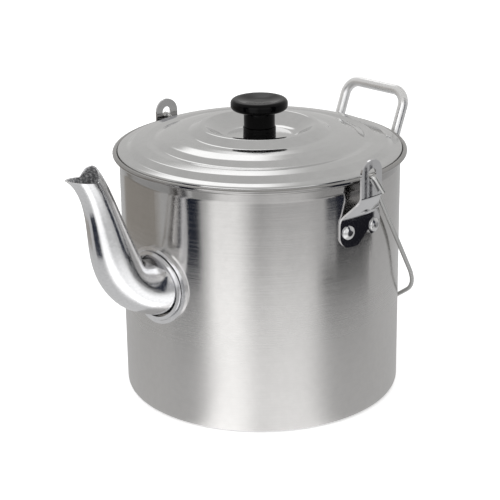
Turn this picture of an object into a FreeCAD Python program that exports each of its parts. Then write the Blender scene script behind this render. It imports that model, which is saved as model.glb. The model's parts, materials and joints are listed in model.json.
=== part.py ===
import FreeCAD, Part
import Sketcher
import math
import os
import re

# Camp percolator with a side spout, a drop bail and a fixed tipping handle.
# Frame: origin at the centre of the base, +Z up, +X towards the spout, bail ears on +Y and -Y.
# All lengths are millimetres and all angles are degrees.

Vector = FreeCAD.Vector
ORIGIN = Vector(0, 0, 0)
X_AXIS = Vector(1, 0, 0)
Y_AXIS = Vector(0, 1, 0)
Z_AXIS = Vector(0, 0, 1)
ON_XZ = FreeCAD.Placement(ORIGIN, FreeCAD.Rotation(X_AXIS, 90))
ON_YZ = FreeCAD.Placement(ORIGIN, FreeCAD.Rotation(Vector(1, 1, 1), 120))

SIZES = {
    # pot: drawn shell, rolled rim bead, flared seat for the lid
    "pot_radius": 81.2,
    "pot_wall": 0.8,
    "pot_corner": 4.0,
    "rim_height": 143.1,
    "flare_height": 136.5,
    "flare_bend": 6.0,
    "seat_radius": 82.77,
    "seat_height": 142.6,
    "bead_centre": 83.6,
    "bead_radius": 1.4,
    "strainer_hole": 2.0,
    "strainer_pitch": 5.6,
    "fit_gap": 0.05,
    # spout and its collar
    "spout_wall": 0.8,
    "spout_height": 81.3,
    "collar_radius": 22.4,
    "collar_bore": 18.0,
    "collar_plate": 0.9,
    "collar_bead_width": 1.9,
    "collar_outer_bead": 2.2,
    "collar_inner_bead": 3.6,
    "mouth_corner_x": 125.4,
    "mouth_corner_z": 152.4,
    "mouth_slope": 9.0,
    "mouth_tab_angle": 116.0,
    # bail ears and rivets; the ears stand a little off the pot's Y axis
    "ear_turn_left": 88.1,
    "ear_turn_right": 265.9,
    "ear_sheet": 1.2,
    "ear_foot_z": 102.0,
    "ear_bend_low": 122.7,
    "ear_bend_high": 133.6,
    "ear_bend": 3.0,
    "ear_neck_reach": 88.35,
    "ear_hole_z": 147.3,
    "ear_hole": 3.1,
    "ear_head": 7.9,
    "ear_flare_z": 131.0,
    "ear_lobe_width": 15.5,
    "ear_lobe_top": 121.0,
    "ear_lobe_round": 7.0,
    "ear_long_base": 105.3,
    "ear_long_side": 3.4,
    "ear_short_base": 109.4,
    "ear_short_side": 7.0,
    "ear_notch_z": 112.9,
    "ear_notch_side": 5.2,
    "rivet_z": 114.2,
    "rivet_spread": 7.1,
    "rivet_head": 3.9,
    "rivet_head_height": 1.9,
    "rivet_shank": 2.4,
    "rivet_tail": 3.3,
    "rivet_tail_height": 1.1,
    # bail: round wire, hanging against the back of the pot
    "bail_wire": 1.25,
    "bail_inner_y": 86.55,
    "bail_outer_y": 91.3,
    "bail_hook_bend": 2.1,
    "bail_hook_length": 12.0,
    "bail_straight": 9.0,
    "bail_corner_y": 68.6,
    "bail_corner_drop": 103.0,
    "bail_corner_bend": 46.0,
    "bail_bow_radius": 50.0,
    "bail_apex_drop": 158.2,
    "bail_axis_drop": 1.6,
    "bail_hang_angle": 35.2,
    # tipping handle: bent rod held in a riveted bracket
    "rod_radius": 3.0,
    "rod_half_width": 23.4,
    "rod_foot_z": 74.0,
    "rod_bend_z": 108.0,
    "rod_top_z": 161.0,
    "rod_lean": 21.8,
    "rod_knee_bend": 14.0,
    "rod_corner_bend": 9.0,
    "bracket_sheet": 1.2,
    "bracket_low_z": 79.0,
    "bracket_high_z": 105.0,
    "bracket_half_width": 37.5,
    "bracket_round": 5.0,
    "bracket_rivet_z": 92.0,
    "bracket_rivet_angle": 23.6,
    # lid
    "lid_sheet": 0.7,
    "lid_edge_radius": 82.1,
    "lid_edge_low": 142.95,
    "lid_edge_top": 145.1,
    "lid_flange_radius": 76.5,
    "lid_flange_z": 145.9,
    "lid_step_radius": 73.4,
    "lid_step_z": 148.7,
    "lid_brow_radius": 66.0,
    "lid_brow_z": 149.7,
    "lid_valley_radius": 61.0,
    "lid_valley_z": 149.2,
    "lid_second_radius": 56.0,
    "lid_second_z": 152.4,
    "lid_crest_radius": 47.0,
    "lid_crest_z": 153.9,
    "lid_crease_radius": 42.0,
    "lid_crease_z": 153.5,
    "lid_lip_radius": 32.4,
    "lid_lip_z": 158.4,
    "lid_dish_radius": 28.2,
    "lid_dish_z": 150.7,
    "lid_hole": 2.4,
    "ring_radius": 79.8,
    "ring_low": 134.5,
    "ring_sheet": 0.6,
    "ring_flange_radius": 76.9,
    # knob, its collar and its fixing
    "knob_collar_radius": 9.5,
    "knob_collar_height": 5.4,
    "knob_stem_radius": 9.0,
    "knob_cap_radius": 16.5,
    "knob_cap_low": 166.2,
    "knob_cap_high": 172.4,
    "knob_cap_round": 2.4,
    "knob_dish_radius": 12.6,
    "knob_dish_depth": 1.3,
    "insert_radius": 3.6,
    "insert_length": 9.0,
    "screw_radius": 2.0,
    "screw_gap": 0.05,
    "screw_head": 4.2,
    "screw_head_height": 2.3,
    "screw_tip_z": 163.5,
    "screw_slot": 1.0,
    "screw_slot_depth": 1.1,
    "washer_radius": 7.0,
    "washer_thickness": 1.0,
    # percolator pump, basket and basket cover
    "tube_radius": 5.0,
    "tube_wall": 0.5,
    "tube_low": 12.0,
    "tube_high": 136.0,
    "foot_sheet": 0.6,
    "foot_radius": 35.0,
    "foot_edge_z": 3.2,
    "foot_shoulder_radius": 21.0,
    "foot_shoulder_z": 9.6,
    "foot_neck_z": 14.0,
    "foot_top_z": 22.0,
    "foot_port_width": 5.0,
    "foot_port_height": 1.6,
    "stop_radius": 7.4,
    "stop_low": 79.5,
    "stop_height": 3.2,
    "basket_sheet": 0.5,
    "basket_radius": 39.5,
    "basket_low": 82.8,
    "basket_high": 127.5,
    "basket_flange": 42.0,
    "sleeve_high": 107.0,
    "sleeve_flange": 9.0,
    "basket_hole": 1.1,
    "cover_skirt_radius": 43.0,
    "cover_skirt_low": 125.4,
    "cover_edge_z": 128.6,
    "cover_crown_radius": 14.0,
    "cover_crown_z": 132.6,
    "cover_neck": 5.6,
    "cover_neck_high": 134.4,
    # travel that the bores and stops leave
    "sleeve_gap": 0.35,
}

# Spout centreline: reach from the axis, height, slope of the line and outside radius at each station.
SPOUT_STATIONS = [
    (76.0, 81.3, 0.0, 17.8),
    (83.2, 81.5, 5.0, 17.0),
    (89.0, 82.6, 20.0, 15.6),
    (97.6, 86.3, 36.0, 14.3),
    (108.0, 98.2, 61.0, 13.3),
    (114.0, 116.0, 74.0, 11.6),
    (119.2, 135.1, 72.0, 9.0),
    (126.3, 151.4, 59.0, 8.2),
    (136.5, 162.0, 43.0, 8.5),
]
STRAINER_RINGS = [(0, 1), (1, 6), (2, 12)]
BASKET_FLOOR_RINGS = [(12.0, 12), (18.0, 18), (24.0, 24), (30.0, 30)]
BASKET_WALL_ROWS = [92.0, 98.0, 104.0, 110.0, 116.0]
BASKET_WALL_COUNT = 30
COVER_RINGS = [(18.0, 16), (24.0, 22), (30.0, 28), (36.0, 34)]

doc = FreeCAD.newDocument("CampPercolator")
sheet = doc.addObject("Spreadsheet::Sheet", "Sizes")
nodes = {}


def fill_sheet():
    """Write every driving size to its own cell, under its own alias."""
    cells = dict(SIZES)
    for number, station in enumerate(SPOUT_STATIONS, 1):
        for part, value in zip(("reach", "rise", "slope", "round"), station):
            cells["spout_%s_%d" % (part, number)] = value
    for row, (name, value) in enumerate(cells.items(), 1):
        sheet.set("A%d" % row, name)
        sheet.set("B%d" % row, str(value))
        sheet.setAlias("B%d" % row, name)
    doc.recompute()


def linked(text):
    """Turn a formula of plain size names into one that points at the sheet."""
    return re.sub(r"\b([a-z]+(?:_[a-z0-9]+)+)\b", r"Sizes.\1", str(text))


def value(text):
    """Work out a formula of size names."""
    return float(sheet.evalExpression(linked(text)))


def bind(item, **formulas):
    """Tie properties of an object to formulas of size names."""
    for name, text in formulas.items():
        item.setExpression(name, linked(text))
    return item


def keep(item, name):
    """Name an object as one piece of the assembly."""
    item.Label = name
    nodes[name] = item
    return item


def outline(sketch, corners, closed):
    """Draw straight runs through the corners, with a tangent arc where a corner has a radius."""
    count = len(corners)
    points = [Vector(value(c[0]), value(c[1]), 0) for c in corners]
    radii = [value(c[2]) if len(c) > 2 else 0.0 for c in corners]
    starts = list(points)
    ends = list(points)
    bends = {}
    first, last = (0, count) if closed else (1, count - 1)
    for i in range(first, last):
        if not radii[i]:
            continue
        back = (points[i - 1] - points[i]).normalize()
        ahead = (points[(i + 1) % count] - points[i]).normalize()
        half = back.getAngle(ahead) / 2
        reach = radii[i] / math.tan(half)
        middle = (back + ahead).normalize()
        centre = points[i] + middle * (radii[i] / math.sin(half))
        ends[i] = points[i] + back * reach
        starts[i] = points[i] + ahead * reach
        bend = Part.Arc(ends[i], centre - middle * radii[i], starts[i]).toShape()
        bends[i] = bend.Curve.trim(*bend.ParameterRange)
    lines = {}
    for i in range(count if closed else count - 1):
        run = Part.LineSegment(starts[i], ends[(i + 1) % count])
        lines[i] = sketch.addGeometry(run, False)
    for i, corner in enumerate(corners):
        mark = sketch.addGeometry(Part.Point(points[i]), True)
        spots = (("DistanceX", corner[0], points[i].x), ("DistanceY", corner[1], points[i].y))
        for way, text, size in spots:
            number = sketch.addConstraint(Sketcher.Constraint(way, -1, 1, mark, 1, size))
            sketch.setExpression("Constraints[%d]" % number, linked(text))
        before = lines.get((i - 1) % count if closed else i - 1)
        after = lines.get(i)
        if i in bends:
            arc = sketch.addGeometry(bends[i], False)
            join_bend(sketch, arc, before, after, mark, ends[i], corner[2], radii[i])
            continue
        if before is not None:
            sketch.addConstraint(Sketcher.Constraint("Coincident", before, 2, mark, 1))
        if after is not None:
            sketch.addConstraint(Sketcher.Constraint("Coincident", after, 1, mark, 1))
    return sketch


def join_bend(sketch, arc, before, after, mark, arc_meets, text, radius):
    """Constrain a corner arc: tangent to both runs, of its own radius, about its marked corner."""
    near = 1 if sketch.getPoint(arc, 1).distanceToPoint(arc_meets) < 1e-6 else 2
    far = 3 - near
    sketch.addConstraint(Sketcher.Constraint("Tangent", before, 2, arc, near))
    sketch.addConstraint(Sketcher.Constraint("Tangent", after, 1, arc, far))
    sketch.addConstraint(Sketcher.Constraint("PointOnObject", mark, 1, before))
    sketch.addConstraint(Sketcher.Constraint("PointOnObject", mark, 1, after))
    number = sketch.addConstraint(Sketcher.Constraint("Radius", arc, radius))
    sketch.setExpression("Constraints[%d]" % number, linked(text))


def drawing(name, corners, plane, closed=True):
    """A free-standing sketch of one outline on a placed plane."""
    sketch = doc.addObject("Sketcher::SketchObject", name)
    sketch.Placement = plane
    return outline(sketch, corners, closed)


def sheet_metal(name, corners, thickness):
    """Turn a drawn sheet about the pot's axis; the metal lies on the left of the outline."""
    face = doc.addObject("Part::Offset2D", name + "_section")
    face.Source = drawing(name + "_line", corners, ON_XZ, False)
    face.Mode = "Skin"
    face.Fill = True
    bind(face, Value=thickness)
    return spun(name + "_shell", face, Z_AXIS)


def spun(name, source, axis):
    """Revolve a flat section through a full turn."""
    item = doc.addObject("Part::Revolution", name)
    item.Source = source
    item.Axis = axis
    item.Base = ORIGIN
    item.Angle = 360
    item.Solid = True
    return item


def lathed(name, corners):
    """A solid turned about the pot's axis from a closed outline."""
    return spun(name, drawing(name + "_line", corners, ON_XZ), Z_AXIS)


def rod(name, radius, length, start, axis, angle=0.0):
    """A cylinder that starts at a bound point and runs along an axis turned about +Z."""
    item = doc.addObject("Part::Cylinder", name)
    bind(item, Radius=radius, Height=length)
    turn = FreeCAD.Rotation(Z_AXIS, angle) * FreeCAD.Rotation(Z_AXIS, axis)
    item.Placement = FreeCAD.Placement(ORIGIN, turn)
    for direction, text in zip("xyz", start):
        item.setExpression("Placement.Base." + direction, linked(text))
    return item


def block(name, sides, corner):
    """A box with bound sides and a bound low corner."""
    item = doc.addObject("Part::Box", name)
    bind(item, Length=sides[0], Width=sides[1], Height=sides[2])
    for direction, text in zip("xyz", corner):
        item.setExpression("Placement.Base." + direction, linked(text))
    return item


def joined(name, items):
    """One solid out of several that overlap."""
    item = doc.addObject("Part::MultiFuse", name)
    item.Shapes = items
    return item


def grouped(name, items):
    """Several separate solids kept as one piece."""
    item = doc.addObject("Part::Compound", name)
    item.Links = items
    return item


def cut(name, base, tool):
    """The base without the tool; a list of tools is joined first."""
    item = doc.addObject("Part::Cut", name)
    item.Base = base
    item.Tool = joined(name + "_tools", tool) if isinstance(tool, list) else tool
    return item


def shared(name, first, second):
    """What two solids have in common."""
    item = doc.addObject("Part::Common", name)
    item.Base = first
    item.Tool = second
    return item


def pushed(name, sketch, direction, length, both=False):
    """Extrude a sketch along a direction."""
    item = doc.addObject("Part::Extrusion", name)
    item.Base = sketch
    item.DirMode = "Custom"
    item.Dir = direction
    item.Solid = True
    item.Symmetric = both
    bind(item, LengthFwd=length)
    return item


def hoop(name, radius, centre, normal):
    """A circle of bound radius about a point."""
    item = doc.addObject("Part::Circle", name)
    bind(item, Radius=radius)
    item.Placement = FreeCAD.Placement(centre, FreeCAD.Rotation(Z_AXIS, normal))
    return item


def swept(name, spine, radius, start, along):
    """Round bar that follows a spine."""
    item = doc.addObject("Part::Sweep", name)
    item.Sections = [hoop(name + "_section", radius, start, along)]
    item.Spine = (spine, [])
    item.Solid = True
    item.Frenet = False
    return item


def make_rivets(name, height, angles):
    """Domed rivets set through the wall, one solid for each angle round the pot."""
    tail = "pot_radius - pot_wall - 2 * fit_gap"
    seat = "pot_radius + ear_sheet + 2 * fit_gap"
    corners = [
        (tail + " - rivet_tail_height", "0"),
        (tail + " - rivet_tail_height", "rivet_tail", "0.5 * rivet_tail_height"),
        (tail, "rivet_tail"),
        (tail, "rivet_shank"),
        (seat, "rivet_shank"),
        (seat, "rivet_head"),
        (seat + " + 0.4 * rivet_head_height", "rivet_head", "0.3 * rivet_head_height"),
        (seat + " + rivet_head_height", "0.5 * rivet_head", "rivet_head_height"),
        (seat + " + rivet_head_height", "0"),
    ]
    line = drawing(name + "_line", corners, ON_XZ)
    rivets = []
    for number, angle in enumerate(angles):
        rivet = spun("%s_%d" % (name, number), line, X_AXIS)
        rivet.Placement = FreeCAD.Placement(ORIGIN, FreeCAD.Rotation(Z_AXIS, value(angle)))
        rivet.setExpression("Placement.Base.z", linked(height))
        rivets.append(rivet)
    return keep(grouped(name, rivets), name)


def rivet_bores(name, height, angles):
    """Radial holes for the rivets, a little larger than their shanks."""
    bores = []
    for number, angle in enumerate(angles):
        start = ("0", "0", height)
        size = "rivet_shank + fit_gap"
        bores.append(rod("%s_%d" % (name, number), size, "2 * pot_radius", start, X_AXIS, value(angle)))
    return bores


EAR_ANGLES = {
    "left": ["ear_turn_left - rivet_spread", "ear_turn_left + rivet_spread"],
    "right": ["ear_turn_right - rivet_spread", "ear_turn_right + rivet_spread"],
}
BRACKET_ANGLES = ["180 - bracket_rivet_angle", "180", "180 + bracket_rivet_angle"]


def make_pot():
    """Drawn pot with a flared lid seat, a rolled bead, a strainer behind the spout and rivet holes."""
    wall = [
        ("0", "0"),
        ("pot_radius", "0", "pot_corner"),
        ("pot_radius", "flare_height", "flare_bend"),
        ("seat_radius", "seat_height"),
    ]
    bead = doc.addObject("Part::Torus", "rim_bead")
    bind(bead, Radius1="bead_centre", Radius2="bead_radius")
    bead.setExpression("Placement.Base.z", linked("rim_height"))
    vessel = joined("pot_blank", [sheet_metal("pot", wall, "pot_wall"), bead])
    holes = []
    for ring, count in STRAINER_RINGS:
        for step in range(count):
            turn = 2 * math.pi * step / count
            side = "%.5f * strainer_pitch" % (ring * math.cos(turn))
            rise = "spout_height + %.5f * strainer_pitch" % (ring * math.sin(turn))
            start = ("pot_radius - 10", side, rise)
            holes.append(rod("strainer_%d_%d" % (ring, step), "strainer_hole", "20", start, X_AXIS))
    for side, angles in EAR_ANGLES.items():
        holes += rivet_bores("pot_bore_" + side, "rivet_z", angles)
    holes += rivet_bores("pot_bore_back", "bracket_rivet_z", BRACKET_ANGLES)
    keep(cut("pot_body", vessel, holes), "pot_body")


def make_spout():
    """Tapering gooseneck, open at the wall and cut to a pouring lip with a raised back tab."""
    shells = {}
    for name, inset in (("outside", "0"), ("inside", "spout_wall")):
        hoops = []
        for number, (reach, rise, slope, size) in enumerate(SPOUT_STATIONS, 1):
            along = Vector(math.cos(math.radians(slope)), 0, math.sin(math.radians(slope)))
            radius = "spout_round_%d - %s" % (number, inset)
            ring = hoop("spout_%s_%d" % (name, number), radius, Vector(reach, 0, rise), along)
            ring.setExpression("Placement.Base.x", linked("spout_reach_%d" % number))
            ring.setExpression("Placement.Base.z", linked("spout_rise_%d" % number))
            hoops.append(ring)
        loft = doc.addObject("Part::Loft", "spout_" + name)
        loft.Sections = hoops
        loft.Solid = True
        shells[name] = loft
    far = 40.0
    lean = math.radians(value("mouth_tab_angle"))
    slope = math.radians(value("mouth_slope"))
    mouth = [
        ("mouth_corner_x", "mouth_corner_z", "1.5"),
    ]
    for reach, rise in ((math.cos(slope), math.sin(slope)), (1.0, 1.0), (math.cos(lean), math.sin(lean))):
        mouth.append(("mouth_corner_x + %.4f" % (far * reach), "mouth_corner_z + %.4f" % (far * rise)))
    opening = pushed("mouth_tool", drawing("mouth_line", mouth, ON_XZ), Y_AXIS, "2 * pot_radius", True)
    wall = rod("spout_wall_tool", "pot_radius + fit_gap", "2 * rim_height", ("0", "0", "0"), Z_AXIS)
    keep(cut("spout", shells["outside"], [shells["inside"], opening, wall]), "spout")


def saddle(name, height, outer, inner):
    """A ring about the spout that stands a given height off the curved wall."""
    centre = ("0.5 * pot_radius", "0", "spout_height")
    outside = "pot_radius + fit_gap + " + height
    drum = rod(name + "_drum", outside, "2 * rim_height", ("0", "0", "0"), Z_AXIS)
    disc = shared(name + "_disc", drum, rod(name + "_edge", outer, "pot_radius", centre, X_AXIS))
    wall = rod(name + "_wall", "pot_radius + fit_gap", "2 * rim_height", ("0", "0", "0"), Z_AXIS)
    return cut(name, disc, [wall, rod(name + "_bore", inner, "pot_radius", centre, X_AXIS)])


def make_collar():
    """Pressed collar that holds the spout to the wall: a plate with two raised beads."""
    outer_edge = "collar_radius - collar_bead_width"
    inner_edge = "collar_bore + collar_bead_width"
    outer_bead = saddle("collar_rib_out", "collar_outer_bead", "collar_radius", outer_edge)
    inner_bead = saddle("collar_rib_in", "collar_inner_bead", inner_edge, "collar_bore")
    plate = saddle("collar_web", "collar_plate", "collar_radius", "collar_bore")
    keep(joined("spout_collar", [plate, outer_bead, inner_bead]), "spout_collar")


def make_ears():
    """Stamped bail ears: a plate with a long and a short lobe, a joggle past the rim and a holed head."""
    strip = [
        ("pot_radius + fit_gap + ear_sheet", "ear_foot_z"),
        ("pot_radius + fit_gap + ear_sheet", "ear_bend_low", "ear_bend"),
        ("ear_neck_reach + ear_sheet", "ear_bend_high", "ear_bend"),
        ("ear_neck_reach + ear_sheet", "ear_hole_z + 2 * ear_head"),
    ]
    face = [
        ("ear_head", "ear_hole_z + ear_head", "ear_head - 0.05"),
        ("ear_head", "ear_flare_z", "4"),
        ("ear_lobe_width", "ear_lobe_top", "ear_lobe_round"),
        ("ear_lobe_width", "ear_short_base", "4.9"),
        ("ear_short_side", "ear_short_base", "2.3"),
        ("ear_notch_side", "ear_notch_z", "0.8"),
        ("-ear_long_side", "ear_long_base", "5"),
        ("-ear_lobe_width", "ear_long_base", "ear_lobe_round"),
        ("-ear_lobe_width", "ear_lobe_top", "ear_lobe_round"),
        ("-ear_head", "ear_flare_z", "4"),
        ("-ear_head", "ear_hole_z + ear_head", "ear_head - 0.05"),
    ]
    plate = pushed("ear_face", drawing("ear_line", face, ON_YZ), X_AXIS, "2 * pot_radius")
    blank = shared("ear_blank", sheet_metal("ear", strip, "ear_sheet"), plate)
    bores = rivet_bores("ear_bore", "rivet_z", ["-rivet_spread", "rivet_spread"])
    bores.append(rod("ear_eye", "ear_hole", "2 * pot_radius", ("0", "0", "ear_hole_z"), X_AXIS))
    ear = cut("ear", blank, bores)
    for side in EAR_ANGLES:
        turn = FreeCAD.Rotation(Z_AXIS, value("ear_turn_" + side))
        placed = grouped("bail_ear_" + side, [ear])
        placed.Placement = FreeCAD.Placement(ORIGIN, turn)
        keep(placed, "bail_ear_" + side)
        make_rivets("ear_rivets_" + side, "rivet_z", EAR_ANGLES[side])


def hinge_line():
    """Placement of the bail's hinge: halfway between the ear holes, with +Y along the line through them."""
    reach = value("ear_neck_reach + ear_sheet / 2")
    left, right = (math.radians(value("ear_turn_" + side)) for side in ("left", "right"))
    near = Vector(reach * math.cos(left), reach * math.sin(left), 0)
    far = Vector(reach * math.cos(right), reach * math.sin(right), 0)
    middle = (near + far) / 2
    middle.z = value("ear_hole_z - bail_axis_drop")
    return FreeCAD.Placement(middle, FreeCAD.Rotation(Y_AXIS, near - far))


def make_bail():
    """Wire bail: hooked through both ears, bowed at its grip, hanging back against the wall."""
    half = [
        ("bail_outer_y", "-bail_hook_length"),
        ("bail_outer_y", "0", "bail_hook_bend"),
        ("bail_inner_y", "0", "bail_hook_bend"),
        ("bail_inner_y", "-bail_straight", "20"),
        ("bail_corner_y", "-bail_corner_drop", "bail_corner_bend"),
    ]
    mirrored = [("-" + c[0],) + tuple(c[1:]) for c in reversed(half)]
    route = half + [("0", "-bail_apex_drop", "bail_bow_radius")] + mirrored
    hang = FreeCAD.Placement(ORIGIN, FreeCAD.Rotation(Y_AXIS, value("bail_hang_angle")))
    line = drawing("bail_line", route, hinge_line() * hang * ON_YZ, False)
    doc.recompute()
    tip = line.Shape.Edges[0].firstVertex().Point
    along = line.Shape.Edges[0].tangentAt(line.Shape.Edges[0].FirstParameter)
    keep(swept("bail", line, "bail_wire", tip, along), "bail")


def bent_wire(points, radii):
    """Straight runs joined by tangent arcs, through points in space."""
    edges = []
    start = points[0]
    for i in range(1, len(points) - 1):
        back = (points[i - 1] - points[i]).normalize()
        ahead = (points[i + 1] - points[i]).normalize()
        half = back.getAngle(ahead) / 2
        reach = radii[i - 1] / math.tan(half)
        middle = (back + ahead).normalize()
        crown = points[i] + middle * (radii[i - 1] / math.sin(half) - radii[i - 1])
        edges.append(Part.LineSegment(start, points[i] + back * reach).toShape())
        start = points[i] + ahead * reach
        edges.append(Part.Arc(points[i] + back * reach, crown, start).toShape())
    edges.append(Part.LineSegment(start, points[-1]).toShape())
    return Part.Wire(edges)


def make_tipping_handle():
    """Bent rod: two legs down the back wall, leaning out above their knees to a straight grip."""
    centre = value("pot_radius + rod_radius + fit_gap")
    side = value("rod_half_width")
    wall_x = -math.sqrt(centre ** 2 - side ** 2)
    lean = math.tan(math.radians(value("rod_lean")))
    grip_x = wall_x - lean * value("rod_top_z - rod_bend_z")
    half = [
        Vector(wall_x, side, value("rod_foot_z")),
        Vector(wall_x, side, value("rod_bend_z")),
        Vector(grip_x, side, value("rod_top_z")),
    ]
    points = half + [Vector(p.x, -p.y, p.z) for p in reversed(half)]
    knee = value("rod_knee_bend")
    corner = value("rod_corner_bend")
    line = doc.addObject("Part::Feature", "tipping_line")
    line.Shape = bent_wire(points, [knee, corner, corner, knee])
    keep(swept("tipping_handle", line, "rod_radius", points[0], Z_AXIS), "tipping_handle")
    make_bracket(wall_x, side)


def make_bracket(wall_x, side):
    """Riveted strap on the back wall with a half-round channel over each leg of the handle."""
    low = ("0", "0", "bracket_low_z")
    height = "bracket_high_z - bracket_low_z"
    strap = rod("bracket_strap", "pot_radius + fit_gap + bracket_sheet", height, low, Z_AXIS)
    channels = []
    bores = [rod("bracket_wall", "pot_radius + fit_gap", "2 * rim_height", ("0", "0", "0"), Z_AXIS)]
    for number, lateral in enumerate((side, -side)):
        foot = ("%.5f" % wall_x, "%.5f" % lateral, "bracket_low_z")
        deep = ("%.5f" % wall_x, "%.5f" % lateral, "0")
        size = "rod_radius + fit_gap + bracket_sheet"
        channels.append(rod("bracket_channel_%d" % number, size, height, foot, Z_AXIS))
        bores.append(rod("bracket_leg_%d" % number, "rod_radius + fit_gap", "2 * rim_height", deep, Z_AXIS))
    bores += rivet_bores("bracket_bore", "bracket_rivet_z", BRACKET_ANGLES)
    face = [
        ("bracket_half_width", "bracket_low_z", "bracket_round"),
        ("bracket_half_width", "bracket_high_z", "bracket_round"),
        ("-bracket_half_width", "bracket_high_z", "bracket_round"),
        ("-bracket_half_width", "bracket_low_z", "bracket_round"),
    ]
    plate = pushed("bracket_face", drawing("bracket_line", face, ON_YZ), -X_AXIS, "2 * pot_radius")
    blank = shared("bracket_blank", joined("bracket_whole", [strap] + channels), plate)
    keep(cut("handle_bracket", blank, bores), "handle_bracket")
    make_rivets("bracket_rivets", "bracket_rivet_z", BRACKET_ANGLES)


def make_lid():
    """Spun lid with two stepped shoulders, a cone and a dished centre, and its locating ring."""
    crown = [
        ("lid_edge_radius", "lid_edge_low"),
        ("lid_edge_radius", "lid_edge_top", "1.2"),
        ("lid_flange_radius", "lid_flange_z", "2"),
        ("lid_step_radius", "lid_step_z", "3"),
        ("lid_brow_radius", "lid_brow_z", "14"),
        ("lid_valley_radius", "lid_valley_z", "4"),
        ("lid_second_radius", "lid_second_z", "4"),
        ("lid_crest_radius", "lid_crest_z", "14"),
        ("lid_crease_radius", "lid_crease_z", "2"),
        ("lid_lip_radius", "lid_lip_z", "2.4"),
        ("lid_dish_radius", "lid_dish_z", "2"),
        ("lid_hole", "lid_dish_z"),
    ]
    keep(sheet_metal("lid", crown, "lid_sheet"), "lid")
    fall = "(lid_flange_z - lid_edge_top) / (lid_edge_radius - lid_flange_radius)"
    under = "lid_edge_top - lid_sheet - 2 * fit_gap + (lid_edge_radius - %s) * " + fall
    ring = [
        ("ring_radius", "ring_low"),
        ("ring_radius", under % "ring_radius", "1"),
        ("ring_flange_radius", under % "ring_flange_radius"),
    ]
    keep(sheet_metal("lid_ring", ring, "ring_sheet"), "lid_ring")


def make_knob():
    """Moulded knob on a moulded collar, with a threaded insert, a screw and a washer under the lid."""
    floor = "lid_dish_z + fit_gap"
    seat = floor + " + knob_collar_height"
    stem = seat + " + fit_gap"
    keep(lathed("knob_collar", [
        ("lid_hole", floor),
        ("knob_collar_radius", floor, "0.4"),
        ("knob_collar_radius", seat, "0.5"),
        ("lid_hole", seat),
    ]), "knob_collar")
    keep(lathed("knob", [
        ("insert_radius + fit_gap", stem),
        ("knob_stem_radius", stem, "0.5"),
        ("knob_stem_radius", "knob_cap_low", "1.5"),
        ("knob_cap_radius", "knob_cap_low", "knob_cap_round"),
        ("knob_cap_radius", "knob_cap_high", "knob_cap_round"),
        ("knob_dish_radius", "knob_cap_high", "0.7"),
        ("0.4 * knob_dish_radius", "knob_cap_high - knob_dish_depth", "30"),
        ("0", "knob_cap_high - knob_dish_depth"),
        ("0", stem + " + insert_length + fit_gap"),
        ("insert_radius + fit_gap", stem + " + insert_length + fit_gap"),
    ]), "knob")
    keep(lathed("knob_insert", [
        ("screw_radius + screw_gap", stem),
        ("insert_radius", stem, "0.3"),
        ("insert_radius", stem + " + insert_length", "0.3"),
        ("screw_radius + screw_gap", stem + " + insert_length"),
    ]), "knob_insert")
    washer_top = "lid_dish_z - lid_sheet - fit_gap"
    washer_low = washer_top + " - washer_thickness"
    keep(lathed("knob_washer", [
        ("lid_hole", washer_low),
        ("washer_radius", washer_low, "0.3"),
        ("washer_radius", washer_top, "0.3"),
        ("lid_hole", washer_top),
    ]), "knob_washer")
    head_top = washer_low + " - fit_gap"
    head_low = head_top + " - screw_head_height"
    blank = lathed("screw_blank", [
        ("0", head_low),
        ("screw_head", head_low, "1.1"),
        ("screw_head", head_top),
        ("screw_radius", head_top),
        ("screw_radius", "screw_tip_z", "0.5"),
        ("0", "screw_tip_z"),
    ])
    sides = ("3 * screw_head", "screw_slot", "screw_slot_depth + 1")
    slot = block("screw_slot", sides, ("-1.5 * screw_head", "-0.5 * screw_slot", head_low + " - 1"))
    keep(cut("knob_screw", blank, slot), "knob_screw")


def make_pump():
    """Bell-shaped foot, rising tube and the stop ring that carries the basket."""
    neck = "tube_radius + fit_gap + foot_sheet"
    bell = [
        ("foot_radius", "pot_wall + fit_gap"),
        ("foot_radius", "foot_edge_z", "1.4"),
        ("foot_shoulder_radius", "foot_shoulder_z", "10"),
        (neck, "foot_neck_z", "2.5"),
        (neck, "foot_top_z"),
    ]
    ports = []
    for number, angle in enumerate((0, 90)):
        sides = ("2.4 * foot_radius", "foot_port_width", "foot_port_height + 1")
        corner = ("-1.2 * foot_radius", "-0.5 * foot_port_width", "pot_wall + fit_gap - 1")
        if angle:
            sides = (sides[1], sides[0], sides[2])
            corner = (corner[1], corner[0], corner[2])
        ports.append(block("foot_port_%d" % number, sides, corner))
    keep(cut("pump_foot", sheet_metal("pump_bell", bell, "foot_sheet"), ports), "pump_foot")
    keep(lathed("pump_tube", [
        ("tube_radius - tube_wall", "tube_low"),
        ("tube_radius", "tube_low"),
        ("tube_radius", "tube_high", "0.2"),
        ("tube_radius - tube_wall", "tube_high", "0.2"),
    ]), "pump_tube")
    keep(lathed("basket_stop", [
        ("tube_radius + fit_gap", "stop_low"),
        ("stop_radius", "stop_low", "1"),
        ("stop_radius", "stop_low + stop_height", "1"),
        ("tube_radius + fit_gap", "stop_low + stop_height"),
    ]), "basket_stop")


def ring_drill(name, ring, count, low, height):
    """Upright drills, evenly spaced on a ring about the axis."""
    drills = []
    for step in range(count):
        turn = 2 * math.pi * step / count
        start = ("%.5f" % (ring * math.cos(turn)), "%.5f" % (ring * math.sin(turn)), low)
        drills.append(rod("%s_%d" % (name, step), "basket_hole", height, start, Z_AXIS))
    return drills


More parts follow.
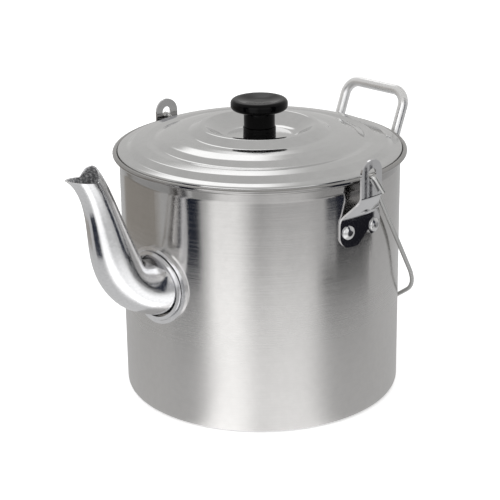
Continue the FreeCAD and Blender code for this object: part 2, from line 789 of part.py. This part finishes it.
def make_basket():
    """Perforated basket, the sleeve that guides it on the pump tube, and its perforated spreader cover."""
    floor = "basket_low + basket_sheet + fit_gap"
    keep(sheet_metal("basket_sleeve", [
        ("tube_radius + sleeve_gap", "sleeve_high"),
        ("tube_radius + sleeve_gap", floor, "1.2"),
        ("sleeve_flange", floor),
    ], "basket_sheet"), "basket_sleeve")
    bowl = [
        ("tube_radius + sleeve_gap", "basket_low"),
        ("basket_radius", "basket_low", "5"),
        ("basket_radius", "basket_high", "1.2"),
        ("basket_flange", "basket_high"),
    ]
    holes = []
    for ring, count in BASKET_FLOOR_RINGS:
        holes += ring_drill("floor_hole_%d" % ring, ring, count, "basket_low - 1", "3")
    for row, height in enumerate(BASKET_WALL_ROWS):
        for step in range(BASKET_WALL_COUNT):
            angle = 360.0 * (step + 0.5 * (row % 2)) / BASKET_WALL_COUNT
            name = "wall_hole_%d_%d" % (row, step)
            turn = math.radians(angle)
            along = "%.5f * (basket_radius - 3)" % math.cos(turn)
            across = "%.5f * (basket_radius - 3)" % math.sin(turn)
            holes.append(rod(name, "basket_hole", "6", (along, across, str(height)), X_AXIS, angle))
    keep(cut("coffee_basket", sheet_metal("basket", bowl, "basket_sheet"), holes), "coffee_basket")
    dome = [
        ("cover_skirt_radius", "cover_skirt_low"),
        ("cover_skirt_radius", "cover_edge_z", "1"),
        ("cover_crown_radius", "cover_crown_z", "20"),
        ("cover_neck + basket_sheet", "cover_crown_z", "1"),
        ("cover_neck + basket_sheet", "cover_neck_high"),
    ]
    holes = []
    for ring, count in COVER_RINGS:
        holes += ring_drill("cover_hole_%d" % ring, ring, count, "cover_skirt_low", "10")
    keep(cut("basket_cover", sheet_metal("cover", dome, "basket_sheet"), holes), "basket_cover")


def check_and_write():
    """Stop on any failed object or broken shape, then write one file for each piece."""
    doc.recompute()
    for item in doc.Objects:
        if "Invalid" in item.State or "Error" in item.State:
            raise SystemExit("failed: %s %s" % (item.Name, item.State))
    os.makedirs("parts", exist_ok=True)
    for name, item in nodes.items():
        shape = item.Shape
        if shape.isNull() or not shape.isValid() or not shape.Solids:
            raise SystemExit("bad shape: " + name)
        shape.exportStep("parts/%s.step" % name)
        print("%-18s solids %d  volume %9.1f" % (name, len(shape.Solids), shape.Volume))


fill_sheet()
make_pot()
make_spout()
make_collar()
make_ears()
make_bail()
make_tipping_handle()
make_lid()
make_knob()
make_pump()
make_basket()
check_and_write()
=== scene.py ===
import json
import math

import bmesh
import bpy
from mathutils import Matrix, Vector


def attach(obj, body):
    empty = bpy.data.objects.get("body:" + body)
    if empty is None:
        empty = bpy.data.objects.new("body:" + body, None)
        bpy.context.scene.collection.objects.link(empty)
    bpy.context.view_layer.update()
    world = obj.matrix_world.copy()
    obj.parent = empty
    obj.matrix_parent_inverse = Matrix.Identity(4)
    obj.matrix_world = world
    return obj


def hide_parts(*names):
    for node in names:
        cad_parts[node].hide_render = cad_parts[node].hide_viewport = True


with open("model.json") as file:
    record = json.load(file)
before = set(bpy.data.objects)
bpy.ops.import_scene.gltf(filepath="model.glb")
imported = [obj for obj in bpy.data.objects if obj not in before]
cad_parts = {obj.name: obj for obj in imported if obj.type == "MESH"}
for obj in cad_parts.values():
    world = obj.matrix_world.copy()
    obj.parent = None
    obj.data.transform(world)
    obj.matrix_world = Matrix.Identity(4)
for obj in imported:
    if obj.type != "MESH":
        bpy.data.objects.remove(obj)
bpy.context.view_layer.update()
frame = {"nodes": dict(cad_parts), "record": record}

# ---------------------------------------------------------------- materials

# Noise values in this band are spread over the whole of a range; those outside it stay at its ends.
NOISE_MIDDLE = (0.3, 0.7)
GRAIN_DEPTH = 0.0002
QUARTER_TURN = 0.25

# How finely each kind of grain repeats, in lines or patches to the metre.
ROUND_LINES = (26, 26, 2300)
SPUN_LINES = 2400.0
SPUN_DRIFT = (18, 18, 18)
PLAIN_GRAIN = 900.0
BRASS_LINES = (60, 60, 3000)
CLOUDS = 21.0
SPECKS = 260.0
HANDLING_MARKS = 120.0

# Detail and roughness of the noise behind each.
LINE_DETAIL = (3.0, 0.6)
CLOUD_DETAIL = (3.0, 0.55)
SPECK_DETAIL = (2.0, 0.6)

# How far clouds change the gloss of a satin wall, specks the tone, and lines the tone for each part of gloss.
CLOUD_GLOSS = 0.02
SPECK_TONE = 0.015
LINE_TONE = 0.4

# Heights in metres over which painted shade comes on at the pot's flared seat, and how much of the tone that
# painted shade takes away.
SEAT_SHADE_HEIGHTS = (0.1355, 0.1375)
SEAT_PAINTED_SHADE = -0.35

# The spout's centreline near its mouth, in metres: its reach at a height, the lean there, and the bend.
MOUTH_LINE_FOOT = (0.114, 0.116)
MOUTH_LINE_SLOPE = 0.118
MOUTH_LINE_BEND = 8.07

# A face of the spout is inside when it looks at the centreline and lies above its foot.
LOOKS_INWARD = (-0.35, -0.15)
ABOVE_FOOT = (0.0, 0.004)

# The spout's grain, its roughness by cloud and by speck, and its tone.
SPOUT_CLOUDS = (60.0, 3.0, 0.6)
SPOUT_SPECKS = (700.0, 3.0, 0.7)
SPOUT_GLOSS = (0.11, 0.19)
SPECK_GLOSS = (0.4, 0.7, 0.0, 0.05)
SPOUT_TONE = 0.8
SPOUT_TONE_RANGE = 0.03
SPOUT_BLUE = 0.01
SPOUT_BUMP = 0.05

# What the inside of the spout's mouth has more of in roughness, less of in metal, and its dark specks.
INSIDE_DULL = 0.35
INSIDE_METAL_LOSS = 0.9
INSIDE_MOTTLE = (0.42, 0.62, -0.58, -0.12)


class Graph:
    """A material under construction: adds nodes and links them by socket name."""

    def __init__(self, name):
        self.material = bpy.data.materials.new(name)
        self.material.use_nodes = True
        self.tree = self.material.node_tree
        self.surface = self.tree.nodes["Principled BSDF"]
        self.place = self.add("ShaderNodeTexCoord").outputs["Object"]

    def add(self, kind, settings=None, **inputs):
        """A new node; an input called i0, i1 and so on is taken by its number, any other by its name."""
        node = self.tree.nodes.new(kind)
        for key, setting in (settings or {}).items():
            setattr(node, key, setting)
        for key, source in inputs.items():
            self.feed(node, int(key[1:]) if key[0] == "i" and key[1:].isdigit() else key, source)
        return node

    def feed(self, node, key, source):
        if isinstance(source, bpy.types.NodeSocket):
            self.tree.links.new(source, node.inputs[key])
        else:
            node.inputs[key].default_value = source

    def math(self, operation, a, b=0.0):
        return self.add("ShaderNodeMath", {"operation": operation}, i0=a, i1=b).outputs[0]

    def vector(self, operation, **inputs):
        return self.add("ShaderNodeVectorMath", {"operation": operation}, **inputs)

    def range(self, source, low, high, to_low, to_high):
        node = self.add("ShaderNodeMapRange", {"interpolation_type": "SMOOTHSTEP"})
        for key, entry in zip(("Value", "From Min", "From Max", "To Min", "To Max"),
                              (source, low, high, to_low, to_high)):
            self.feed(node, key, entry)
        return node.outputs["Result"]

    def spread(self, noise, to_low, to_high):
        return self.range(noise, *NOISE_MIDDLE, to_low, to_high)

    def stretched(self, scale):
        return self.vector("MULTIPLY", i0=self.place, i1=scale).outputs[0]

    def noise(self, vector, scale, detail=2.0, rough=0.5):
        return self.add("ShaderNodeTexNoise", Vector=vector, Scale=scale, Detail=detail,
                        Roughness=rough).outputs["Fac"]

    def relief(self, strength, height):
        bump = self.add("ShaderNodeBump", Strength=strength, Distance=GRAIN_DEPTH, Height=height)
        return bump.outputs["Normal"]

    def set(self, **inputs):
        for key, source in inputs.items():
            self.feed(self.surface, key.replace("_", " "), source)


def grain_lines(g, grain):
    """Noise drawn out into lines: round the wall, in rings on a flat top, or fine and without direction."""
    if grain == "round":
        return g.noise(g.stretched(ROUND_LINES), 1.0, *LINE_DETAIL)
    if grain == "spun":
        flat = g.vector("LENGTH", i0=g.stretched((1, 1, 0))).outputs["Value"]
        lines = g.math("MULTIPLY", flat, SPUN_LINES)
        across = g.add("ShaderNodeCombineXYZ", X=lines, Y=0.0, Z=0.0).outputs[0]
        drift = g.stretched(SPUN_DRIFT)
        return g.noise(g.vector("ADD", i0=across, i1=drift).outputs[0], 1.0, *LINE_DETAIL)
    return g.noise(g.place, PLAIN_GRAIN, *LINE_DETAIL)


def steel(name, colour, polish, satin, grain, streak, bump, stretch=0.0, blotch=0.04, satin_height=None):
    """Steel with fine grain, clouds and specks of tone, and gloss that varies between polish and satin; with
    a satin height, painted shade also darkens the flared seat.
    """
    g = Graph(name)
    lines = grain_lines(g, grain)
    cloud = g.noise(g.place, CLOUDS, *CLOUD_DETAIL)
    speck = g.noise(g.place, SPECKS, *SPECK_DETAIL)
    tone = g.math("ADD", g.spread(cloud, -blotch, blotch), g.spread(speck, -SPECK_TONE, SPECK_TONE))
    tone = g.math("ADD", tone, g.spread(lines, -LINE_TONE * streak, LINE_TONE * streak))
    if satin_height:
        level = g.add("ShaderNodeSeparateXYZ", Vector=g.place).outputs["Z"]
        gloss = g.range(level, *satin_height, satin, polish)
        gloss = g.math("ADD", gloss, g.spread(cloud, -CLOUD_GLOSS, CLOUD_GLOSS))
        # Painted shade: the wall's colour darkens from the flared seat upward.
        tone = g.math("ADD", tone, g.range(level, *SEAT_SHADE_HEIGHTS, 0.0, SEAT_PAINTED_SHADE))
    else:
        gloss = g.spread(cloud, polish, satin)
    gloss = g.math("ADD", gloss, g.spread(lines, -streak, streak))
    tint = g.vector("SCALE", i0=tuple(colour)).outputs[0]
    g.feed(tint.node, "Scale", g.math("ADD", tone, 1.0))
    g.set(Base_Color=tint, Metallic=1.0, Roughness=gloss, Normal=g.relief(bump, lines))
    if stretch:
        around = g.add("ShaderNodeTangent", {"direction_type": "RADIAL", "axis": "Z"})
        g.set(Anisotropic=stretch, Anisotropic_Rotation=QUARTER_TURN, Tangent=around.outputs["Tangent"])
    return g.material


def spout_inside(g):
    """1 on the inside of the spout's mouth and 0 elsewhere, found from the spout's centreline."""
    across = g.add("ShaderNodeSeparateXYZ", Vector=g.place).outputs
    rise = g.math("SUBTRACT", across["Z"], MOUTH_LINE_FOOT[1])
    bend = g.math("MULTIPLY", g.math("MULTIPLY", rise, rise), MOUTH_LINE_BEND)
    lean = g.math("MULTIPLY", rise, MOUTH_LINE_SLOPE)
    line = g.math("ADD", g.math("ADD", lean, bend), MOUTH_LINE_FOOT[0])
    beside = g.math("SUBTRACT", across["X"], line)
    out = g.add("ShaderNodeCombineXYZ", X=beside, Y=across["Y"], Z=0.0).outputs[0]
    out = g.vector("NORMALIZE", i0=out).outputs[0]
    normal = g.add("ShaderNodeTexCoord").outputs["Normal"]
    facing = g.vector("DOT_PRODUCT", i0=out, i1=normal).outputs["Value"]
    return g.math("MULTIPLY", g.range(facing, *LOOKS_INWARD, 1.0, 0.0), g.range(rise, *ABOVE_FOOT, 0.0, 1.0))


def spout_steel():
    """Polished like the ears but hand finished; the inside of the mouth is left dull and mottled."""
    g = Graph("spout_steel")
    cloud = g.noise(g.place, *SPOUT_CLOUDS)
    speck = g.noise(g.place, *SPOUT_SPECKS)
    inside = spout_inside(g)
    gloss = g.math("ADD", g.spread(cloud, *SPOUT_GLOSS), g.range(speck, *SPECK_GLOSS))
    gloss = g.math("ADD", gloss, g.math("MULTIPLY", inside, INSIDE_DULL))
    shade = g.math("ADD", SPOUT_TONE, g.spread(speck, -SPOUT_TONE_RANGE, SPOUT_TONE_RANGE))
    shade = g.math("ADD", shade, g.math("MULTIPLY", inside, g.range(speck, *INSIDE_MOTTLE)))
    blue = g.math("ADD", shade, SPOUT_BLUE)
    tint = g.add("ShaderNodeCombineColor", Red=shade, Green=shade, Blue=blue).outputs[0]
    metal = g.math("SUBTRACT", 1.0, g.math("MULTIPLY", inside, INSIDE_METAL_LOSS))
    g.set(Base_Color=tint, Metallic=metal, Roughness=gloss, Normal=g.relief(SPOUT_BUMP, speck))
    return g.material


def moulded_black():
    """Gloss black moulded phenolic with faint handling marks."""
    g = Graph("black_phenolic")
    gloss = g.spread(g.noise(g.place, HANDLING_MARKS, *LINE_DETAIL), 0.08, 0.15)
    g.set(Base_Color=(0.002, 0.002, 0.0022, 1.0), Roughness=gloss, IOR=1.36, Specular_IOR_Level=0.2)
    return g.material


def brass():
    """Turned brass."""
    g = Graph("insert_brass")
    gloss = g.spread(g.noise(g.stretched(BRASS_LINES), 1.0), 0.22, 0.34)
    g.set(Base_Color=(0.72, 0.5, 0.2, 1.0), Metallic=1.0, Roughness=gloss)
    return g.material


# Steel finishes: colour, polish, satin, grain, streak, bump, then stretch, blotch and satin height if any.
STEELS = {
    "brushed_steel": ((0.60, 0.59, 0.58), 0.13, 0.36, "round", 0.05, 0.12, 0.5, 0.03, (0.02, 0.12)),
    "polished_steel": ((0.66, 0.66, 0.67), 0.05, 0.10, "plain", 0.02, 0.02),
    "lid_steel": ((0.62, 0.62, 0.62), 0.06, 0.12, "spun", 0.015, 0.03, 0.15),
    "rod_steel": ((0.92, 0.92, 0.92), 0.26, 0.34, "plain", 0.02, 0.04),
    "wire_steel": ((0.58, 0.58, 0.57), 0.22, 0.32, "plain", 0.03, 0.05),
    "rivet_steel": ((0.74, 0.74, 0.74), 0.12, 0.2, "plain", 0.02, 0.03),
    "screw_steel": ((0.66, 0.66, 0.66), 0.15, 0.24, "spun", 0.03, 0.05),
    "pump_steel": ((0.62, 0.62, 0.62), 0.22, 0.32, "spun", 0.04, 0.08, 0.4),
    "basket_steel": ((0.64, 0.64, 0.64), 0.24, 0.34, "spun", 0.04, 0.08, 0.4),
}
FINISHES = {name: steel(name, *look) for name, look in STEELS.items()}
FINISHES["black_phenolic"] = moulded_black()
FINISHES["insert_brass"] = brass()
SLOTS = {part["node"]: part["material_slot"] for part in frame["record"]["subparts"]}

OWN_FINISH = {"spout": spout_steel()}
OWN_FINISH["spout_collar"] = OWN_FINISH["spout"]

for name, node in frame["nodes"].items():
    node.data.materials.clear()
    node.data.materials.append(OWN_FINISH.get(name, FINISHES[SLOTS[name]]))

# ---------------------------------------------------------------- spun lid

# Upper side of the lid from its hem to its middle hole: radius, height and bend radius in millimetres.
LID_LINE = [
    (82.1, 142.95, 0),
    (82.1, 145.1, 1.2),
    (76.5, 145.9, 3),
    (73.4, 148.9, 4),
    (66.0, 149.8, 5),
    (61.0, 149.4, 4),
    (56.0, 151.9, 8),
    (50.0, 153.2, 18),
    (45.0, 153.8, 30),
    (41.0, 154.0, 4),
    (34.2, 157.5, 3),
    (31.6, 157.75, 1.6),
    (21.0, 150.8, 9),
    (11.0, 150.7, 0),
    (2.4, 150.7, 0),
]
LID_SHEET = 0.7
PER_METRE = 1000

# A bend uses up to this share of the shorter run beside it; edges turn sharp from this angle on.
BEND_SHARE = 0.48
SHARP_FROM = math.radians(50)


def rounded(corners, steps=10):
    """Points along straight runs with an arc of the given radius at each corner that has one."""
    spots = [Vector(corner[:2]) for corner in corners]
    points = []
    for i, (corner, spot) in enumerate(zip(corners, spots)):
        if not corner[2]:
            points.append(spot)
            continue
        back = (spots[i - 1] - spot).normalized()
        ahead = (spots[i + 1] - spot).normalized()
        half = back.angle(ahead) / 2
        room = min((spots[i - 1] - spot).length, (spots[i + 1] - spot).length)
        bend = min(corner[2], BEND_SHARE * math.tan(half) * room)
        centre = spot + (back + ahead).normalized() * bend / math.sin(half)
        start = spot + back * bend / math.tan(half) - centre
        sweep = start.angle_signed(spot + ahead * bend / math.tan(half) - centre)
        for step in range(steps + 1):
            angle = -sweep * step / steps
            cos, sin = math.cos(angle), math.sin(angle)
            points.append(centre + Vector((cos * start.x - sin * start.y, sin * start.x + cos * start.y)))
    return points


def spun_sheet(name, corners, thickness, slices=256):
    """Sheet metal of even thickness, turned about the pot's axis; the corners give its upper side."""
    upper = rounded(corners)
    under = []
    for i, spot in enumerate(upper):
        run = (upper[min(i + 1, len(upper) - 1)] - upper[max(i - 1, 0)]).normalized()
        under.append(spot + Vector((-run.y, run.x)) * thickness)
    section = upper + under[::-1]
    shape = bmesh.new()
    rings = []
    for k in range(slices):
        turn = 2 * math.pi * k / slices
        place = [(r * math.cos(turn) / PER_METRE, r * math.sin(turn) / PER_METRE, z / PER_METRE)
                 for r, z in section]
        rings.append([shape.verts.new(spot) for spot in place])
    for k in range(slices):
        here, there = rings[k], rings[(k + 1) % slices]
        for i in range(len(section)):
            after = (i + 1) % len(section)
            shape.faces.new((here[i], here[after], there[after], there[i]))
    bmesh.ops.recalc_face_normals(shape, faces=shape.faces)
    mesh = bpy.data.meshes.new(name)
    shape.to_mesh(mesh)
    shape.free()
    mesh.shade_smooth()
    mesh.set_sharp_from_angle(angle=SHARP_FROM)
    piece = bpy.data.objects.new(name, mesh)
    bpy.context.scene.collection.objects.link(piece)
    return piece


spun_lid = spun_sheet("lid_spun", LID_LINE, LID_SHEET)
spun_lid.data.materials.append(FINISHES["lid_steel"])
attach(spun_lid, "lid")
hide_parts("lid")

# ---------------------------------------------------------------- camera

CAMERA_SPOT = Vector((0.61279, 0.62536, 0.40165))
LOOK = Vector((-0.65209, -0.67526, -0.34468))
LEVEL_RIGHT = Vector((-0.71934, 0.69466, 0.0))
ROLL = -0.0136
FOCAL_LENGTH = 113.39
FILM_WIDTH = 36
NEAREST = 0.01
FARTHEST = 50

level_up = LEVEL_RIGHT.cross(LOOK)
right = LEVEL_RIGHT * math.cos(ROLL) + level_up * math.sin(ROLL)
up = -LEVEL_RIGHT * math.sin(ROLL) + level_up * math.cos(ROLL)
camera = bpy.data.objects.new("camera", bpy.data.cameras.new("camera"))
camera.data.lens = FOCAL_LENGTH
camera.data.sensor_width = FILM_WIDTH
camera.data.clip_start = NEAREST
camera.data.clip_end = FARTHEST
camera.matrix_world = Matrix.Translation(CAMERA_SPOT) @ Matrix((right, up, -LOOK)).transposed().to_4x4()
bpy.context.scene.collection.objects.link(camera)
bpy.context.scene.camera = camera

# ---------------------------------------------------------------- studio

HEADING = math.atan2(CAMERA_SPOT.y, CAMERA_SPOT.x)
WALL_RADIUS = 0.0812
WHITE = Vector((1, 1, 1))

# The tent's own colours: low down on the far left, low down elsewhere, and high up or behind the pot.
TENT_WARM = Vector((0.34, 0.315, 0.29))
TENT_COOL = Vector((0.44, 0.44, 0.45))
TENT_PALE = Vector((0.63, 0.625, 0.615))

# Bands below are a low and a high limit, then the width of the soft edge outside each, all for hill().
COOL_TURNS = (-70, 180, 8, 1)
PALE_TURNS = (110, 180, 30, 1)
PALE_RISES = (34, 90, 16, 1)
LOW_RISES = (-90, 34, 1, 10)

# Panels of light on the tent: brightness, band of turns and band of rises.
TENT_PANELS = [
    (1.0, (-46, -14, 4, 20), LOW_RISES),
    (0.45, (14, 42, 20, 7), LOW_RISES),
    (0.9, (181, 198, 8, 8), (37, 48, 5, 8)),
]

# The floor's bands: reaches in metres, and turns as the camera sees them in the wall.
NEAR_REACHES = (0, 0.1, 1, 0.4)
FAR_REACHES = (0.5, 9, 0.4, 1)
STRIP_TURNS = (-36, -22, 12, 22)
POOL_TURNS = (-36, 34, 22, 30)
RIGHT_TURNS = (14, 34, 14, 20)

# The floor's own brightness, what each band adds to it, and what nearness and distance take away.
FLOOR_GLOW = 0.6
STRIP_LIGHT = 0.8
POOL_LIGHT = 0.55
RIGHT_LIGHT = 0.1
NEAR_LOSS = 0.3
FAR_LOSS = 0.2

# The tent's disc lies just above the floor, and its dome starts just outside and above the disc, in metres.
DISC_HEIGHT = 0.0005
TENT_GAP = 0.001
CARD_EDGE = Vector((0.55, 0.55, 0.55))
LAMP_AIM = Vector((0, 0, 0.05))


def studio_spot(turn, distance, height):
    """A point round the pot; turn is in degrees from the camera, positive to the right of the picture."""
    angle = HEADING + math.radians(turn)
    return Vector((distance * math.cos(angle), distance * math.sin(angle), height))


def hill(value, low, high, edge_low, edge_high):
    """1 between two limits, falling to 0 over soft edges outside them."""
    rise = min(1.0, max(0.0, (value - low + edge_low) / edge_low))
    fall = min(1.0, max(0.0, (high + edge_high - value) / edge_high))
    return (rise * rise * (3 - 2 * rise)) * (fall * fall * (3 - 2 * fall))


def only_reflected(thing):
    """Keeps a studio card out of everything but reflections."""
    thing.visible_camera = False
    thing.visible_diffuse = False
    thing.visible_shadow = False
    thing.visible_transmission = False
    thing.visible_volume_scatter = False


def glowing(name, verts, faces, colours):
    """A studio surface that glows with one colour for each vertex, seen only in reflections."""
    mesh = bpy.data.meshes.new(name)
    mesh.from_pydata(verts, [], faces)
    paint = mesh.attributes.new("glow", "FLOAT_COLOR", "POINT")
    for entry, colour in zip(paint.data, colours):
        entry.color = (*colour, 1.0)
    material = bpy.data.materials.new(name)
    material.use_nodes = True
    tree = material.node_tree
    tree.nodes.remove(tree.nodes["Principled BSDF"])
    source = tree.nodes.new("ShaderNodeAttribute")
    source.attribute_name = "glow"
    lamp = tree.nodes.new("ShaderNodeEmission")
    tree.links.new(source.outputs["Color"], lamp.inputs["Color"])
    tree.links.new(lamp.outputs[0], tree.nodes["Material Output"].inputs["Surface"])
    mesh.materials.append(material)
    thing = bpy.data.objects.new(name, mesh)
    bpy.context.scene.collection.objects.link(thing)
    only_reflected(thing)


def strips_between(columns, size, closed=False, gap=None):
    """Faces between neighbouring columns of points, each column with the given number of points."""
    faces = []
    for k in range(columns if closed else columns - 1):
        a, b = k * size, ((k + 1) % columns) * size
        faces += [(a + i, b + i, b + i + 1, a + i + 1) for i in range(size - 1) if i != gap]
    return faces


def tent_glow(turn, rise):
    """Brightness of the studio round the pot, by turn from the camera and rise above the horizon."""
    base = TENT_WARM.lerp(TENT_COOL, hill(turn, *COOL_TURNS))
    pale = max(hill(rise, *PALE_RISES), hill(abs(turn), *PALE_TURNS))
    colour = base.lerp(TENT_PALE, pale)
    for brightness, turns, rises in TENT_PANELS:
        across = max(hill(turn, *turns), hill(turn + 360, *turns))
        colour += WHITE * brightness * across * hill(rise, *rises)
    return colour


def mirrored(turn, reach, rounds=8):
    """Direction, in turn from the camera, in which the camera sees a floor spot reflected by the wall."""
    spot = math.radians(turn)
    facing = spot / 2
    for _ in range(rounds):
        facing = (spot + math.asin(min(1.0, WALL_RADIUS / reach) * math.sin(facing))) / 2
    return math.degrees(2 * facing)


def floor_glow(turn, reach):
    """Brightness of the studio floor in reflections: a strip left of the camera and a pool in front."""
    seen = mirrored(turn, reach)
    near = hill(reach, *NEAR_REACHES)
    strip = (STRIP_LIGHT - NEAR_LOSS * near) * hill(seen, *STRIP_TURNS)
    pool = POOL_LIGHT * near * hill(seen, *POOL_TURNS)
    lit = FLOOR_GLOW + strip + (pool + RIGHT_LIGHT * hill(seen, *RIGHT_TURNS))
    return WHITE * lit * (1 - FAR_LOSS * hill(reach, *FAR_REACHES))


def build_tent(radius=1.6, inner=0.02, slices=180, rings=14, crowding=1.5, rows=60):
    """A dome round the pot with a floor disc; the disc's rings lie closer together near the pot."""
    verts = []
    colours = []
    reaches = [inner + (radius - inner) * (k / rings) ** crowding for k in range(rings + 1)]
    for k in range(slices):
        turn = -180 + 360 * k / slices
        for reach in reaches:
            verts.append(studio_spot(turn, reach, DISC_HEIGHT))
            colours.append(floor_glow(turn, reach))
        for row in range(rows + 1):
            rise = math.radians(90 * row / rows)
            away = radius * math.cos(rise) + TENT_GAP
            verts.append(studio_spot(turn, away, TENT_GAP + radius * math.sin(rise)))
            colours.append(tent_glow(turn, math.degrees(rise)))
    faces = strips_between(slices, len(reaches) + rows + 1, closed=True, gap=rings)
    glowing("tent", verts, faces, colours)


def build_card(name, start, end, distance, low, high, colour, soft, steps=28, rows=8):
    """An upright card round the pot; its sides fade into the brightness of the floor behind it."""
    verts = []
    colours = []
    for k in range(steps + 1):
        turn = start + (end - start) * k / steps
        cover = hill(turn, start + soft, end - soft, soft, soft)
        for row in range(rows + 1):
            verts.append(studio_spot(turn, distance, low + (high - low) * row / rows))
            colours.append(Vector(colour) * cover + CARD_EDGE * (1 - cover))
    glowing(name, verts, strips_between(steps + 1, rows + 1), colours)


def softbox(name, turn, distance, height, width, tall, power):
    """Soft light for the floor and the moulded knob; the steel takes its light from the tent."""
    light = bpy.data.lights.new(name, "AREA")
    light.shape = "RECTANGLE"
    light.size = width
    light.size_y = tall
    light.energy = power
    lamp = bpy.data.objects.new(name, light)
    lamp.location = studio_spot(turn, distance, height)
    lamp.rotation_mode = "QUATERNION"
    lamp.rotation_quaternion = (LAMP_AIM - lamp.location).to_track_quat("-Z", "Y")
    bpy.context.scene.collection.objects.link(lamp)
    lamp.visible_camera = False
    lamp.visible_glossy = False


NAVY = (0.016, 0.02, 0.034)
BROWN = (0.33, 0.31, 0.285)
GREY = (0.2, 0.2, 0.2)
BLACK = (0.012, 0.012, 0.016)
# Near black for the cards whose reflections put the dark streaks on the ear's head; a painted reflection, not
# soot on the ear.
EAR_STREAK_CARD_BLACK = (0.02, 0.02, 0.024)

# Cards: name, turns where they start and end, distance, lower and upper edge, colour and soft edge.
CARDS = [
    ("card_left", -67, -41, 0.29, 0.001, 0.34, NAVY, 3.5),
    ("card_left_warm", -135, -76, 0.3, 0.001, 0.12, BROWN, 6),
    ("card_right", 46, 71, 0.41, 0.001, 0.5, NAVY, 5),
    ("card_right_low", 39, 86, 0.25, 0.001, 0.032, GREY, 8),
    ("card_ear", 53, 90, 0.27, 0.026, 0.058, BLACK, 2),
    ("card_ear_head", 68.5, 71, 0.272, 0.058, 0.09, EAR_STREAK_CARD_BLACK, 0.4),
    ("card_ear_head_right", 72.5, 75.5, 0.272, 0.058, 0.09, EAR_STREAK_CARD_BLACK, 0.4),
]

# Lamps: name, turn, distance, height, width, how tall, and power.
LAMPS = [
    ("overhead", 0, 0.1, 1.6, 1.8, 1.8, 14),
    ("key", -35, 1.3, 1.0, 0.8, 0.8, 6),
]

build_tent()
for card in CARDS:
    build_card(*card)
for lamp in LAMPS:
    softbox(*lamp)

FLOOR_HALF = 6
FLOOR_DROP = 0.0003
corners = [(x * FLOOR_HALF, y * FLOOR_HALF, 0) for x, y in ((-1, -1), (1, -1), (1, 1), (-1, 1))]
floor_mesh = bpy.data.meshes.new("floor")
floor_mesh.from_pydata(corners, [], [(0, 1, 2, 3)])
floor_paint = Graph("floor_paint")
floor_paint.set(Base_Color=(0.9, 0.9, 0.9, 1), Roughness=0.9)
floor_paint.set(Emission_Color=(1, 1, 1, 1), Emission_Strength=0.5)
floor_mesh.materials.append(floor_paint.material)
floor = bpy.data.objects.new("floor", floor_mesh)
floor.location.z = -FLOOR_DROP
bpy.context.scene.collection.objects.link(floor)
floor.visible_glossy = False
floor.visible_diffuse = False

WORLD_LIGHT = 0.45
world = bpy.data.worlds.new("studio")
world.use_nodes = True
backdrop = world.node_tree.nodes["Background"]
backdrop.inputs["Color"].default_value = (1, 1, 1, 1)
backdrop.inputs["Strength"].default_value = WORLD_LIGHT
bpy.context.scene.world = world
bpy.context.scene.view_settings.view_transform = "Standard"
